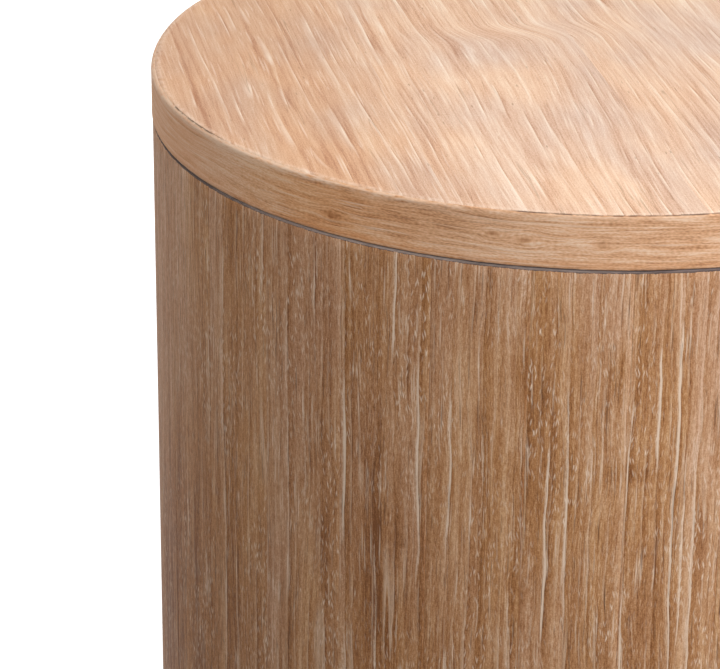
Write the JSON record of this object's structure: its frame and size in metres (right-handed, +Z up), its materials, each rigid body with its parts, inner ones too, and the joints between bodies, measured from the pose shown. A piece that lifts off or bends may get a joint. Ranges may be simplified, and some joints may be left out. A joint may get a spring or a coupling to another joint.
{
  "type": "round end table",
  "caption": "Round end table: a thick round wooden top over a narrow dark reveal and a full-height drum of upright staves, on adjustable feet.",
  "frame": {"origin": "centre of the drum at floor level, under the feet when they are screwed in", "axes": "+Z up along the drum's axis; the picture looks along +Y from in front and above"},
  "size_m": [0.61, 0.61, 0.61],
  "materials": {
    "face_veneer": "limed matt lacquer over open grain",
    "edge_band": "limed matt lacquer over open grain",
    "drum_wood": "brushed, stained and limed, matt",
    "reveal_paint": "matt charcoal paint on board",
    "board": "bare fibreboard",
    "balance_veneer": "sanded veneer",
    "plywood": "sanded plywood",
    "plain_timber": "planed softwood and beech",
    "zinc_steel": "bright zinc plate",
    "nylon": "moulded black nylon"
  },
  "bodies": {
    "table": {"top_face_leaf_1": "face_veneer", "top_face_leaf_2": "face_veneer", "top_face_leaf_3": "face_veneer", "top_face_leaf_4": "face_veneer", "top_edge_band_1": "edge_band", "top_edge_band_2": "edge_band", "top_edge_band_3": "edge_band", "top_core": "board", "top_build_up_ring": "board", "top_balance_veneer": "balance_veneer", "reveal_ring": "reveal_paint", "stave_01": "drum_wood", "stave_02": "drum_wood", "stave_03": "drum_wood", "stave_04": "drum_wood", "stave_05": "drum_wood", "stave_06": "drum_wood", "stave_07": "drum_wood", "stave_08": "drum_wood", "stave_09": "drum_wood", "stave_10": "drum_wood", "stave_11": "drum_wood", "stave_12": "drum_wood", "stave_13": "drum_wood", "stave_14": "drum_wood", "stave_15": "drum_wood", "stave_16": "drum_wood", "stave_17": "drum_wood", "stave_18": "drum_wood", "stave_19": "drum_wood", "stave_20": "drum_wood", "stave_21": "drum_wood", "stave_22": "drum_wood", "stave_23": "drum_wood", "stave_24": "drum_wood", "stave_25": "drum_wood", "stave_26": "drum_wood", "stave_27": "drum_wood", "stave_28": "drum_wood", "stave_29": "drum_wood", "stave_30": "drum_wood", "stave_tongues": "plain_timber", "top_former": "plywood", "bottom_former": "plywood", "upper_glue_blocks": "plain_timber", "lower_glue_blocks": "plain_timber", "top_dowels": "plain_timber", "top_screws": "zinc_steel", "leveller_inserts": "zinc_steel"},
    "leveller_1": {"leveller_stem_1": "zinc_steel", "leveller_pad_1": "nylon"},
    "leveller_2": {"leveller_stem_2": "zinc_steel", "leveller_pad_2": "nylon"},
    "leveller_3": {"leveller_stem_3": "zinc_steel", "leveller_pad_3": "nylon"},
    "leveller_4": {"leveller_stem_4": "zinc_steel", "leveller_pad_4": "nylon"}
  },
  "joints": [
    {"name": "leveller_1_screw", "type": "slide", "parent": "table", "child": "leveller_1", "axis": [0, 0, -1], "range_m": [0, 0.012]},
    {"name": "leveller_2_screw", "type": "slide", "parent": "table", "child": "leveller_2", "axis": [0, 0, -1], "range_m": [0, 0.012]},
    {"name": "leveller_3_screw", "type": "slide", "parent": "table", "child": "leveller_3", "axis": [0, 0, -1], "range_m": [0, 0.012]},
    {"name": "leveller_4_screw", "type": "slide", "parent": "table", "child": "leveller_4", "axis": [0, 0, -1], "range_m": [0, 0.012]}
  ]
}
